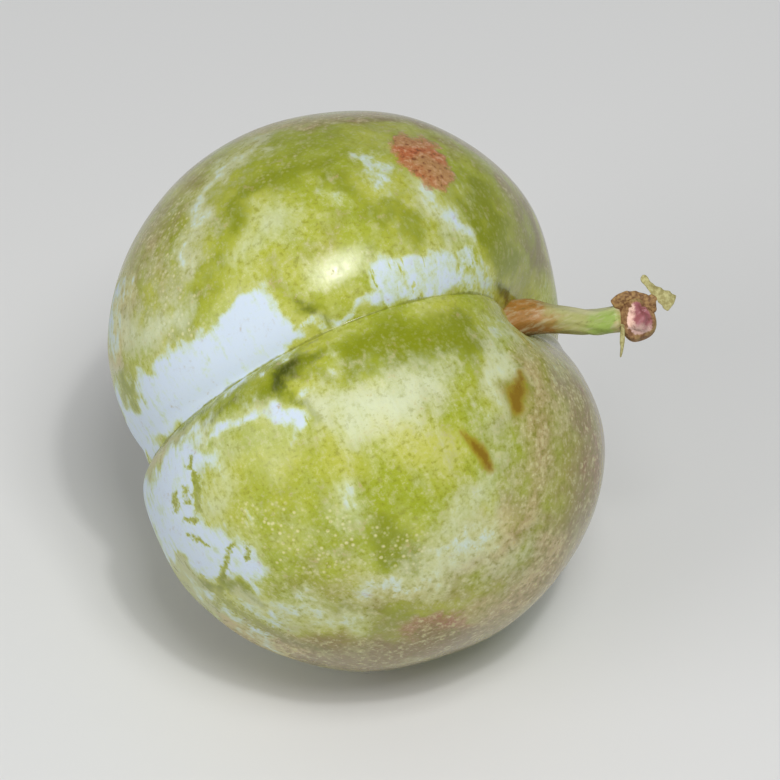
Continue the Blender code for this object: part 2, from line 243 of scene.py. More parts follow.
DARK_MARK_AND_SHADE_STROKES = (
    (1.00, 0.9, 1, ((-5.9, 0.2, 0.24), (-5.4, 0.8, 0.56), (-4.9, 1.4, 0.56), (-4.6, 1.8, 0.34))),
    (0.55, 0.9, 1, ((-5.6, 1.6, 0.2), (-4.6, 2.2, 0.39), (-3.8, 2.4, 0.29), (-2.8, 2.1, 0.15))),
    # Painted shade on the upper right rim.
    (0.40, 1.2, 0, ((11.7, 13.2, 0.37), (12.6, 11, 0.49), (12.7, 9, 0.37))),
    (0.50, 0.5, 1, ((-4.9, 2.6, 0.15), (-3.4, 3.3, 0.22), (-2, 4, 0.15))),
    # Painted shadow: the thin dark line where the lower lobe's rim meets the suture.
    (0.55, 0.4, 1, ((-14.4, -4.1, 0.12), (-11.2, -1.8, 0.17), (-8, 0.4, 0.17), (-5.6, 2.2, 0.12))),
    (0.40, 0.6, 1, ((-5, 0.2, 0.2), (-4.6, -0.5, 0.22), (-3.4, -1.1, 0.22), (-3.3, -2.2, 0.12))),
    # These two strokes carry the same painted shadow line further left.
    (0.60, 0.5, 1, ((-13.7, -4.1, 0.1), (-12.8, -3.7, 0.22), (-12.2, -3, 0.1))),
    (0.60, 0.5, 1, ((-11.1, -2.7, 0.12), (-10.2, -2.1, 0.27), (-9.5, -1.3, 0.22), (-8.5, -0.4, 0.15))),
    (0.50, 0.4, -1, ((-4.1, 6.3, 0.2), (-3.2, 5.4, 0.29), (-2.2, 5, 0.2))),
    # Painted shade in the gap at the stalk's foot.
    (0.70, 0.3, -1, ((10, 7.6, 0.24), (10.5, 6.6, 0.37))),
)
# Tan at the rims: brownish skin, with painted shade on the upper right rim and along the bottom.
TAN_AND_SHADE_STROKES = (
    (0.92, 3, 0, (
        (13.9, 2.9, 0.98), (15.9, -0.7, 1.46), (16.8, -4.6, 1.71), (16.1, -9, 1.71), (13.4, -13.2, 1.71),
        (9.3, -16.6, 1.46),
    )),
    (0.72, 2.8, 0, (
        (12.2, 1.7, 0.98), (13.2, -2.2, 1.34), (12.9, -6.6, 1.22), (10.7, -10.5, 1.22), (6.8, -13.7, 0.98),
    )),
    (0.60, 1.6, 0, ((-17.1, 2.2, 0.49), (-16.3, 7.6, 0.73), (-14.1, 12.7, 0.98), (-11.2, 16.1, 0.73))),
    (0.35, 1.2, 0, ((-13.4, 11, 0.73), (-14.1, 7.6, 0.73))),
    (0.75, 0.9, 0, (
        (-8.5, 18, 0.37), (-4.9, 19.3, 0.49), (1.2, 19.9, 0.61), (5.4, 19, 0.61), (9.8, 16.3, 0.61),
        (12.4, 12.9, 0.49), (13.4, 9.5, 0.37),
    )),
    # Painted shade on the upper right rim.
    (0.70, 1.4, 0, ((11.2, 14.1, 0.61), (12.7, 11.5, 0.85), (13.2, 8.5, 0.73))),
    # Darker along the bottom: tan skin and painted shade.
    (1.00, 1.8, 0, ((-9, -17.8, 1.22), (-4.4, -19.3, 1.46), (2.4, -19, 1.46), (7.8, -17.3, 1.46))),
    (0.50, 3, 0, ((-3.7, -13.9, 0.98), (1.2, -15.4, 1.22), (6.1, -14.1, 1.22))),
    (0.35, 0.6, 1, ((-14.9, -5.6, 0.49), (-14.6, -4.4, 0.49), (-13.2, -3.4, 0.44))),
    (0.35, 1.5, 0, ((-2.2, 10.7, 0.61), (-4.1, 9.5, 0.73))),
)
DOT_STROKES = (
    (1.00, 2, 0, (
        (-7.3, -8.5, 1.22), (-4.4, -10.2, 2.2), (-1.5, -11.2, 2.2), (1.5, -11, 1.71), (4.6, -11.2, 1.22),
    )),
    (1.00, 1.2, 1, ((11.2, 2.9, 0.73), (13.7, 1.7, 0.98), (14.6, -1.2, 0.98))),
    (0.60, 1.5, 0, ((7.3, -8.5, 0.73), (10.7, -7.6, 0.98))),
    (1.00, 2.5, 0, ((-12.7, 12.7, 1.46), (-13.2, 7.8, 1.95), (-13.2, 3.7, 1.46))),
    (0.45, 1.5, 0, ((-7.3, 15.4, 0.98), (-3.9, 16.8, 0.98))),
)
YELLOW_AND_GLOW_STROKES = (
    # Painted glow below the lower lobe's sheen, where the broad highlight falls.
    (1.00, 3.5, 1, ((2, -2.7, 0.98), (4.9, -3.9, 1.71), (6.3, -4.6, 1.46))),
    (0.60, 3, 1, ((-3.4, -4.1, 1.22), (-0.5, -5.1, 1.46))),
    # Painted glow round the upper lobe's highlight.
    (0.25, 2.5, -1, ((-5.4, 9.5, 1.22), (-2.9, 8.5, 1.46), (-0.5, 10, 1.22))),
)
RUSSET_STROKES = (
    (1.00, 0.6, 0, ((3.2, 17.3, 0.83), (4, 16.6, 1.32), (5.1, 15.9, 1.32), (5.6, 15.1, 1.02))),
)
SCAR_STROKES = (
    (1.00, 0.6, 1, ((11.2, 1, 0.12), (11.3, -0.2, 0.39), (11.5, -1.3, 0.37))),
    (1.00, 0.55, 0, ((7.5, -3.1, 0.1), (8.7, -4.4, 0.44), (9.4, -5.5, 0.24))),
)
BLUSH_STROKES = (
    (0.95, 1.2, 0, ((3.7, -17, 0.54), (5.6, -16.6, 0.63), (7.6, -16.2, 0.73))),
    (0.72, 0.9, 0, ((14.9, 1.7, 0.24), (16.2, -1, 0.37), (16.7, -4.1, 0.44), (16.1, -8, 0.32))),
)
# A scratch is a thin line of (right, up, radius) points, seen from the front too.
SCRATCHES = (
    ((-11.8, -4.7, 0.09), (-11.9, -5.5, 0.09)),
    ((-11.5, -5.9, 0.12), (-11.4, -7.1, 0.22), (-11.3, -8.5, 0.15)),
    ((-12.2, -6.9, 0.1), (-12.1, -8, 0.15)),
    ((-13, -7.4, 0.12), (-12.9, -8.5, 0.15)),
    ((-12.2, -9.1, 0.1), (-11.5, -9.3, 0.12)),
    ((-12, -10.2, 0.07), (-10.7, -11, 0.07)),
    ((-9, -11, 0.12), (-9.6, -13.2, 0.17), (-10, -15.4, 0.15)),
    ((-7.9, -11, 0.07), (-7.8, -12, 0.07)),
    ((-11, -13.4, 0.15), (-9.8, -14.6, 0.2), (-7.8, -16.2, 0.24), (-4.9, -17.8, 0.22), (-2, -18.5, 0.15)),
    ((-9, -15.1, 0.12), (-6.8, -16.6, 0.15), (-3.4, -18.3, 0.12)),
)
# How soft the strokes' ends are at the suture, and where the skin counts as turned away from the
# front: its normal's share towards the viewer, from hidden to seen.
SUTURE_EDGE = 0.12 * MM
HIDDEN_FACING = -0.30
SEEN_FACING = 0.0
# How far noise of two sizes carries the strokes' rims, in millimetres, and how much of that
# reaches the small marks.
RAG_COARSE = 0.30
RAG_COARSE_SIZE = 3.2 * MM
RAG_FINE = 0.12
RAG_FINE_SIZE = 1.1 * MM
SMALL_MARK_RAG = 0.4
# Sizes of the noise that varies the skin away from the front.
PATCH_SIZE = 11.0 * MM
SPOT_SIZE = 5.0 * MM
BROAD_SIZE = 14.0 * MM
# How far the ring at the far tip reaches, and how far apart the pores are.
TIP_REACH = 3.5 * MM
PORE_GAP = 0.40 * MM

# The stalk's middle line in the fruit's own axes, and how wide it is along that line, in
# millimetres. Its ridges sway round it by so many radians.
STALK_ROUTE = (
    (0.0, 0.0, 10.4),
    (0.0, 0.3, 13.0),
    (-0.1, 1.4, 15.2),
    (0.0, 2.7, 17.6),
    (0.3, 3.4, 19.9),
)
STALK_WIDTHS = (3.5, 2.75, 1.98, 1.80, 1.95)
STALK_FLAT_WAY = (0.0, 1.0, 0.3)
STALK_RIDGES = 7
STALK_RIDGE_HEIGHT = 0.035
RIDGE_SWAY = 2.0
RIDGE_SWAY_SIZE = 4.0 * MM
STEM_SIDES = 48
STEM_RINGS = 120

# The knob at the stalk's end. Routes on it are (right, up, towards the viewer) from its middle, in
# millimetres. Its torn place faces a way that is given like them, and reaches so many radians from
# there. Its lumps and depths are shares of its radius.
KNOB_MIDDLE = (0.2, 3.6, 20.3)
KNOB_RADII = (1.35, 1.58, 1.35)
KNOB_SHIFT = 0.25
KNOB_LUMP_HEIGHT = 0.08
KNOB_LUMP_SIZE = 1.5
KNOB_SIDES = 96
KNOB_RINGS = 60
TORN_WAY = (0.22, -0.03, 0.97)
TORN_REACH = 0.95
TORN_RIM = 0.15
TORN_SLOPE = 0.25
TORN_DEPTH = 0.22
TORN_UNEVEN = 0.35
TORN_UNEVEN_SIZE = 0.8
CAP_ROUTE = ((-1.35, 0.75, 0.2), (-0.75, 1.35, 0.5), (0.15, 1.55, 0.6), (1.05, 1.25, 0.5), (1.55, 0.4, 0.3))
CAP_WIDTHS = (1.0, 0.85, 0.6, 0.5, 0.35)
PEELED_ROUTE = ((0.55, 2.9, 0.4), (1.05, 2.35, 0.5), (1.6, 1.85, 0.5), (2.2, 1.35, 0.45), (2.8, 0.95, 0.3))
PEELED_WIDTHS = (0.40, 0.55, 0.75, 1.05, 1.35)
NECK_ROUTE = ((0.8, 0.8, 0.5), (1.15, 1.2, 0.62), (1.5, 1.5, 0.55))
NECK_WIDTHS = (0.9, 0.75, 0.55)
FIBRE_ROUTE = ((-0.75, -0.4, 0.9), (-0.82, -1.2, 1.0), (-0.78, -2.0, 0.9), (-0.90, -2.75, 0.8))
FIBRE_WIDTHS = (0.36, 0.32, 0.26, 0.10)
STRIP_THICKNESS = 0.26
STRIP_FLAT_WAY = (0.2, 0.1, 1.0)
STRIP_SIDES = 20
STRIP_RINGS = 48
STRIP_UNEVEN_HEIGHT = 0.03 * MM
STRIP_UNEVEN_SIZE = 0.6 * MM
ROD_CAP = 0.06

# Colours of the skin, as linear red, green and blue with 1 for opaque.
BASE_GREEN = (0.31, 0.36, 0.020, 1.0)
BASE_LIME = (0.42, 0.44, 0.055, 1.0)
COMBED_LIME = (0.52, 0.53, 0.13, 1.0)
MOTTLED_GREEN = (0.23, 0.27, 0.010, 1.0)
# Yellow skin, also painted highlight glow.
YELLOW_AND_GLOW = (0.55, 0.54, 0.10, 1.0)
OLIVE = (0.21, 0.245, 0.004, 1.0)
# Tan skin, also painted shade on the rims.
TAN_AND_SHADE = (0.22, 0.145, 0.048, 1.0)
BLUSH = (0.32, 0.10, 0.075, 1.0)
THIN_FILM = (0.47, 0.50, 0.20, 1.0)
PORE = (0.68, 0.64, 0.32, 1.0)
# Colours of dust, and of painted light where dust strokes stand for it.
DUST_AND_LIGHT_ON_GREEN = (0.50, 0.50, 0.33, 1.0)
DUST_AND_LIGHT_ON_TAN = (0.60, 0.475, 0.25, 1.0)
# Pale haze, also the colour of painted sheen.
HAZE_AND_SHEEN = (0.61, 0.66, 0.455, 1.0)
PALE_FLECK = (0.60, 0.60, 0.29, 1.0)
DARK_FLECK = (0.17, 0.16, 0.01, 1.0)
# A dark green mark on the skin, also painted shade along the suture and on the rims.
DARK_MARK_AND_SHADE = (0.040, 0.050, 0.001, 1.0)
THIN_BLOOM = (0.57, 0.61, 0.27, 1.0)
HALF_BLOOM = (0.54, 0.635, 0.545, 1.0)
THICK_BLOOM = (0.56, 0.645, 0.76, 1.0)
SCRATCHED_SKIN = (0.17, 0.19, 0.04, 1.0)
# Painted shade at the bottom of the suture.
CREASE_SHADE = (0.10, 0.11, 0.01, 1.0)
RED_CORK = (0.46, 0.12, 0.035, 1.0)
BROWN_CORK = (0.42, 0.22, 0.08, 1.0)
PALE_CORK = (0.66, 0.36, 0.22, 1.0)
DARK_CORK = (0.16, 0.05, 0.015, 1.0)
SCAR_RIM = (0.31, 0.23, 0.010, 1.0)
SCAR_CORE = (0.22, 0.125, 0.003, 1.0)
TIP_BLOOM = (0.56, 0.63, 0.60, 1.0)
TIP_RING = (0.30, 0.17, 0.06, 1.0)
TIP_POINT = (0.08, 0.045, 0.015, 1.0)

# Colours of the stalk.
STEM_FOOT = (0.36, 0.165, 0.028, 1.0)
STEM_OLIVE = (0.38, 0.38, 0.13, 1.0)
STEM_GREEN = (0.30, 0.41, 0.085, 1.0)
STEM_END = (0.44, 0.36, 0.15, 1.0)
# Painted highlight along the stem's top, and painted shade under its foot.
STEM_TOP_HIGHLIGHT = (0.56, 0.53, 0.33, 1.0)
STEM_UNDERSIDE_SHADE = (0.13, 0.05, 0.012, 1.0)
PALE_RIB = (0.52, 0.48, 0.30, 1.0)
DARK_RIB = (0.13, 0.10, 0.02, 1.0)
KNOB_BARK_DARK = (0.15, 0.06, 0.02, 1.0)
KNOB_BARK_LIGHT = (0.35, 0.20, 0.08, 1.0)
KNOB_BARK_GREEN = (0.34, 0.31, 0.10, 1.0)
TORN_MAUVE = (0.33, 0.11, 0.12, 1.0)
# Pink flesh, also painted highlight.
TORN_PINK_AND_HIGHLIGHT = (0.80, 0.52, 0.42, 1.0)
TORN_LOWER = (0.52, 0.34, 0.29, 1.0)
TORN_CRACK = (0.20, 0.06, 0.04, 1.0)
DRY_BARK_DARK = (0.28, 0.24, 0.08, 1.0)
DRY_BARK_LIGHT = (0.46, 0.43, 0.19, 1.0)
BROWN_BARK_DARK = (0.13, 0.055, 0.015, 1.0)
BROWN_BARK_LIGHT = (0.34, 0.20, 0.07, 1.0)

# The studio. Each light has its name, its place from the fruit's middle, its side in metres and its
# power in watts.
FLOOR_SIDE = 1.6
FLOOR_COLOR = (0.70, 0.70, 0.69, 1.0)
SKY_COLOR = (0.95, 0.97, 1.0, 1.0)
SKY_STRENGTH = 0.30
LIGHTS = (
    ("key", (0.08, -0.24, 0.42), 0.18, 1.32),
    ("spot", (0.08, -0.24, 0.42), 0.026, 0.42),
    ("fill", (-0.5, -0.35, 0.3), 0.4, 1.45),
)


def wave_noise(places, size, seed, count=28):
    """Smooth seeded noise of about unit strength, a sum of waves of about one size."""
    draw = np.random.default_rng(seed)
    total = np.zeros(len(places))
    for _ in range(count):
        way = draw.normal(size=3)
        way *= 2.0 * math.pi / (np.linalg.norm(way) * size * draw.uniform(0.7, 1.6))
        total += np.sin(places @ way + draw.uniform(0.0, 2.0 * math.pi))
    return total / math.sqrt(0.5 * count)


def smooth_step(low, high, values):
    share = np.clip((values - low) / (high - low), 0.0, 1.0)
    return share * share * (3.0 - 2.0 * share)


def lobe_reach(rays, side):
    scaled = rays / np.array([STRETCH_TO_SUTURE, 1.0, STRETCH_TO_STALK])
    middle = np.array([0.0, side * LOBE_OFFSET, -side * LOBE_SLIP / STRETCH_TO_STALK])
    along = scaled @ middle
    size = (scaled**2).sum(1)
    inside = LOBE_RADIUS**2 - middle @ middle
    return (along + np.sqrt(along**2 + size * inside)) / size


def skin_points(rays):
    """The skin's points for unit rays, where rays with y = 0 belong to the suture."""
    front = 0.5 + 0.5 * np.tanh((rays[:, 0] - GROOVE_END) / GROOVE_FADE)
    softness = SEAM_SOFTNESS_BACK + (SEAM_SOFTNESS_FRONT - SEAM_SOFTNESS_BACK) * front
    one = lobe_reach(rays, -1.0)
    other = lobe_reach(rays, 1.0)
    radius = 0.5 * (one + other + np.hypot(one - other, softness))
    off_suture = radius * rays[:, 1]
    groove_width = np.where(off_suture > 0.0, GROOVE_WIDTH_LOWER, GROOVE_WIDTH_UPPER)
    radius = radius - GROOVE_DEPTH * front * np.exp(-np.hypot(off_suture, GROOVE_ROUNDING) / groove_width)

    around = np.arctan2(rays[:, 0], rays[:, 2])
    shift = SUTURE_SHIFT * np.sin(around) + SUTURE_SWAY * np.sin(2.0 * around)
    ways = rays.copy()
    ways[:, 1] += shift * (1.0 - rays[:, 1] ** 2)
    ways /= np.linalg.norm(ways, axis=1)[:, None]
    places = ways * radius[:, None]
    off_stalk = np.hypot(places[:, 0] / HOLLOW_TO_SUTURE, places[:, 1] / HOLLOW_ACROSS)
    hollow = HOLLOW_DEPTH * np.exp(-np.hypot(off_stalk, HOLLOW_ROUNDING))
    off_tip = np.hypot(places[:, 0], places[:, 1]) / TIP_DIMPLE_WIDTH
    dimple = TIP_DIMPLE_DEPTH * np.exp(-(off_tip**2))
    radius = radius - np.where(ways[:, 2] > 0.0, ways[:, 2] * hollow, dimple)
    return ways * radius[:, None], off_suture


def inside_share(seen, dabs, softness):
    """How far each seen place lies inside a stroke, from 0 outside to 1 inside."""
    best = np.full(len(seen), 1e9)
    for start, end in zip(dabs[:-1], dabs[1:]):
        begin = np.array(start[:2])
        run = np.array(end[:2]) - begin
        share = np.clip((seen - begin) @ run / (run @ run), 0.0, 1.0)
        radius = start[2] + (end[2] - start[2]) * share
        gap = np.linalg.norm(seen - begin - share[:, None] * run, axis=1) - radius
        best = np.minimum(best, gap)
    return smooth_step(softness, -softness, best)


def stroked(strokes, seen, off_suture):
    """The strongest of the strokes at each seen place."""
    most = np.zeros(len(seen))
    for strength, softness, side, dabs in strokes:
        share = strength * inside_share(seen, dabs, softness)
        if side:
            share = share * smooth_step(-SUTURE_EDGE, SUTURE_EDGE, side * off_suture)
        most = np.maximum(most, share)
    return most


def add_value(mesh, name, values):
    layer = mesh.attributes.new(name, "FLOAT", "POINT")
    layer.data.foreach_set("value", values.astype(np.float32))


def ball_rays(columns, rows):
    """Unit rays of a ball from pole to pole, gathered near the suture."""
    down = math.pi * np.arange(1, rows) / rows
    turn = 2.0 * math.pi * np.arange(columns) / columns
    turn = turn - CROWDING * np.sin(turn)
    down, turn = (grid.ravel() for grid in np.meshgrid(down, turn, indexing="ij"))
    rings = np.stack([np.sin(down) * np.cos(turn), np.sin(down) * np.sin(turn), np.cos(down)], axis=1)
    return np.concatenate([[(0.0, 0.0, 1.0)], rings, [(0.0, 0.0, -1.0)]])


def ball_mesh(name, columns, rows, places):
    """A closed ball of quads with a fan of triangles at each pole, and a map for its two turns."""
    first = 1 + columns * np.arange(rows - 2)[:, None] + np.arange(columns)
    after = 1 + columns * np.arange(rows - 2)[:, None] + np.roll(np.arange(columns), -1)
    quads = np.stack([first, first + columns, after + columns, after], axis=2).reshape(-1, 4)
    last = len(places) - 1
    top = [(0, 1 + column, 1 + (column + 1) % columns) for column in range(columns)]
    ring = last - columns
    foot = [(last, ring + (column + 1) % columns, ring + column) for column in range(columns)]
    mesh = bpy.data.meshes.new(name)
    mesh.from_pydata(places.tolist(), [], quads.tolist() + top + foot)
    layer = mesh.uv_layers.new(name="OFBake")
    layer.uv.foreach_set("vector", ball_map(columns, rows).astype(np.float32).ravel())
    return mesh


def ball_map(columns, rows):
    """Where each corner of ball_mesh's faces lies on the flat map: quads, then top and foot fans."""
    column, row = np.meshgrid(np.arange(columns), np.arange(1, rows - 1))
    corners = [(column, row), (column, row + 1), (column + 1, row + 1), (column + 1, row)]
    quads = np.array([np.stack([c / columns, r / rows], axis=-1) for c, r in corners])
    quads = quads.transpose(1, 2, 0, 3).reshape(-1, 2)
    left = np.arange(columns) / columns
    middle = left + 0.5 / columns
    right = left + 1.0 / columns
    pole = np.zeros(columns)
    ring = pole + 1.0 / rows
    top = np.stack([middle, pole, left, ring, right, ring], axis=1)
    foot = np.stack([middle, pole + 1.0, right, 1.0 - ring, left, 1.0 - ring], axis=1)
    return np.concatenate([quads, top.reshape(-1, 2), foot.reshape(-1, 2)])


def along_route(route, steps):
    """Places on a smooth curve through the route's points, evenly spread from its start to its end."""
    route = np.array(route, dtype=float)
    padded = np.concatenate([[2.0 * route[0] - route[1]], route, [2.0 * route[-1] - route[-2]]])
    spot = np.linspace(0.0, len(route) - 1.0, steps)
    first = np.minimum(spot.astype(int), len(route) - 2)
    t = (spot - first)[:, None]
    p0, p1, p2, p3 = (padded[first + shift] for shift in range(4))
    bend = 2.0 * p0 - 5.0 * p1 + 4.0 * p2 - p3
    turn = 3.0 * (p1 - p2) + p3 - p0
    return 0.5 * (2.0 * p1 + (p2 - p0) * t + bend * t**2 + turn * t**3)


def rod_places(route, widths, depths, columns, rows, flat_way):
    """Rings of places round a route, closed with a round cap at each end, for ball_mesh."""
    line = along_route(route, rows + 1)
    half_widths = 0.5 * along_route(np.array(widths)[:, None], rows + 1)
    half_depths = 0.5 * along_route(np.array(depths)[:, None], rows + 1)
    run = np.gradient(line, axis=0)
    run /= np.linalg.norm(run, axis=1)[:, None]
    side = np.cross(run, np.array(flat_way))
    side /= np.linalg.norm(side, axis=1)[:, None]
    face = np.cross(side, run)
    reach = np.linspace(0.0, 1.0, rows + 1)
    ends = np.minimum(reach, 1.0 - reach) / ROD_CAP
    cap = np.sqrt(1.0 - (1.0 - np.clip(ends, 0.0, 1.0)) ** 2)[:, None]
    turn = 2.0 * math.pi * np.arange(columns) / columns
    wide = (cap * half_widths)[:, None] * np.cos(turn)[None, :, None] * side[:, None]
    deep = (cap * half_depths)[:, None] * np.sin(turn)[None, :, None] * face[:, None]
    rings = (line[:, None] + wide + deep)[1:-1]
    places = np.concatenate([line[:1], rings.reshape(-1, 3), line[-1:]])
    around = np.concatenate([[0.0], np.tile(turn, rows - 1), [0.0]])
    along = np.concatenate([[0.0], np.repeat(reach[1:-1], columns), [1.0]])
    return places, along, around


def how_it_lies():
    """The turn from the fruit's own axes to the way it lies, as a mathutils matrix."""
    lay = Matrix.Rotation(STALK_TURN, 3, "Z")
    lay = lay @ Matrix.Rotation(STALK_LEAN, 3, "Y")
    return lay @ Matrix.Rotation(FRUIT_ROLL, 3, "Z")


def toward_viewer():
    return np.array([0.0, -math.cos(CAMERA_HEIGHT_ANGLE), math.sin(CAMERA_HEIGHT_ANGLE)])


def view_to_fruit():
    """The turn from (right, up, towards the viewer) to the fruit's own axes."""
    tilt = math.sin(CAMERA_HEIGHT_ANGLE), math.cos(CAMERA_HEIGHT_ANGLE)
    columns = Matrix(((1.0, 0.0, 0.0), (0.0, tilt[0], -tilt[1]), (0.0, tilt[1], tilt[0])))
    return how_it_lies().inverted() @ columns


def front_view(laid):
    """Where places round the fruit's middle are seen from the front, right and up in millimetres."""
    up = np.array([0.0, math.sin(CAMERA_HEIGHT_ANGLE), math.cos(CAMERA_HEIGHT_ANGLE)])
    zoom = CAMERA_DISTANCE / (CAMERA_DISTANCE - laid @ toward_viewer()) / MM
    return np.stack([laid[:, 0] * zoom, laid @ up * zoom], axis=1)


def normals_of(mesh):
    normals = np.empty(3 * len(mesh.vertices))
    mesh.vertices.foreach_get("normal", normals)
    return normals.reshape(-1, 3)


def new_piece(name, mesh, home, material, node):
    """A piece turned as its home says, so that its box is a close one. Its points keep their own places."""
    own = np.empty(3 * len(mesh.vertices), dtype=np.float32)
    mesh.vertices.foreach_get("co", own)
    mesh.attributes.new("own_place", "FLOAT_VECTOR", "POINT").data.foreach_set("vector", own)
    mesh.transform(home.to_3x3().to_4x4())
    piece = bpy.data.objects.new(name, mesh)
    bpy.context.scene.collection.objects.link(piece)
    piece.matrix_world = Matrix.Translation(home.to_translation())
    mesh.shade_smooth()
    mesh.materials.append(material)
    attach(piece, "root")
    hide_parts(node)


def make_fruit():
    """The fine skin, with what varies over it kept as named values on its points."""
    rays = ball_rays(MERIDIANS, PARALLELS)
    local, off_suture = skin_points(rays)
    uneven = UNEVEN_HEIGHT * wave_noise(local, UNEVEN_SIZE, seed=1)
    local += uneven[:, None] * rays

    lay = how_it_lies()
    laid = local @ np.array(lay).T
    low, high = (np.array(corner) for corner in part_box("fruit"))
    middle = 0.5 * (low + high) - 0.5 * (laid.min(0) + laid.max(0))
    middle[2] = high[2] - laid[:, 2].max()
    rested = laid + middle
    rested[:, 2] = np.maximum(rested[:, 2], 0.0)
    mesh = ball_mesh("fruit_skin", MERIDIANS, PARALLELS, (rested - middle) @ np.array(lay))

    toward = normals_of(mesh) @ np.array(lay).T @ toward_viewer()
    facing = smooth_step(HIDDEN_FACING, SEEN_FACING, toward)
    add_fields(mesh, local, front_view(laid), facing, off_suture)
    home = Matrix.Translation(Vector(middle)) @ lay.to_4x4()
    new_piece("fruit_skin", mesh, home, skin_material(), "fruit")
    return home


def make_stalk(home):
    """The bent stem, the knob at its end and the torn bark on the knob."""
    make_stem(home)
    knob_home = home @ Matrix.Translation(Vector(KNOB_MIDDLE) * MM) @ view_to_fruit().to_4x4()
    make_knob(knob_home)
    dry = bark_material("dry_bark", DRY_BARK_DARK, DRY_BARK_LIGHT)
    brown = bark_material("brown_bark", BROWN_BARK_DARK, BROWN_BARK_LIGHT)
    make_strip("bark_cap", CAP_ROUTE, CAP_WIDTHS, brown, knob_home)
    make_strip("bark_neck", NECK_ROUTE, NECK_WIDTHS, brown, knob_home)
    make_strip("peeled_bark", PEELED_ROUTE, PEELED_WIDTHS, dry, knob_home)
    make_strip("fibre", FIBRE_ROUTE, FIBRE_WIDTHS, dry, knob_home)


def make_stem(home):
    """The stem from its foot in the hollow to the knob, with low ridges along it."""
    route = np.array(STALK_ROUTE) * MM
    widths = np.array(STALK_WIDTHS) * MM
    places, along, around = rod_places(route, widths, widths, STEM_SIDES, STEM_RINGS, STALK_FLAT_WAY)
    line = along_route(route, STEM_RINGS + 1)[1:-1]
    middles = np.concatenate([places[:1], np.repeat(line, STEM_SIDES, axis=0), places[-1:]])
    away = places - middles
    away /= np.maximum(np.linalg.norm(away, axis=1), 1e-6)[:, None]
    turn = STALK_RIDGES * around + RIDGE_SWAY * wave_noise(places, RIDGE_SWAY_SIZE, seed=7)
    ridges = STALK_RIDGE_HEIGHT * MM * np.sin(turn)
    mesh = ball_mesh("stem", STEM_SIDES, STEM_RINGS, places + away * ridges[:, None])
    add_value(mesh, "along", along)
    add_value(mesh, "above", away @ np.array(view_to_fruit().col[1]))
    new_piece("stem", mesh, home, stem_material(), "stalk")


def make_knob(knob_home):
    """The lumpy end of the stalk, with a rough dish where it came off the twig."""
    rays = ball_rays(KNOB_SIDES, KNOB_RINGS)
    lumps = 1.0 + KNOB_LUMP_HEIGHT * wave_noise(rays, KNOB_LUMP_SIZE, seed=11)
    torn_way = np.array(TORN_WAY) / np.linalg.norm(TORN_WAY)
    off_torn = np.arccos(np.clip(rays @ torn_way, -1.0, 1.0))
    dish = smooth_step(TORN_REACH + TORN_RIM, TORN_REACH - TORN_SLOPE, off_torn)
    lumps -= TORN_DEPTH * dish * (1.0 + TORN_UNEVEN * wave_noise(rays, TORN_UNEVEN_SIZE, seed=13))
    shape = rays * lumps[:, None] * np.array(KNOB_RADII)
    shape[:, 0] += KNOB_SHIFT
    mesh = ball_mesh("knob", KNOB_SIDES, KNOB_RINGS, shape * MM)
    add_value(mesh, "torn", dish)
    add_value(mesh, "right", shape[:, 0])
    add_value(mesh, "up", shape[:, 1])
    new_piece("knob", mesh, knob_home, knob_material(), "stalk")


def make_strip(name, route, widths, bark, knob_home):
    """A thin uneven strip of bark along a route on the knob."""
    depths = [min(STRIP_THICKNESS, width) * MM for width in widths]
    widths = np.array(widths) * MM
    route = np.array(route) * MM
    places, along, _ = rod_places(route, widths, depths, STRIP_SIDES, STRIP_RINGS, STRIP_FLAT_WAY)
    places += (STRIP_UNEVEN_HEIGHT * wave_noise(places, STRIP_UNEVEN_SIZE, seed=12))[:, None]
    mesh = ball_mesh(name, STRIP_SIDES, STRIP_RINGS, places)
    add_value(mesh, "along", along)
    new_piece(name, mesh, knob_home, bark, "stalk")


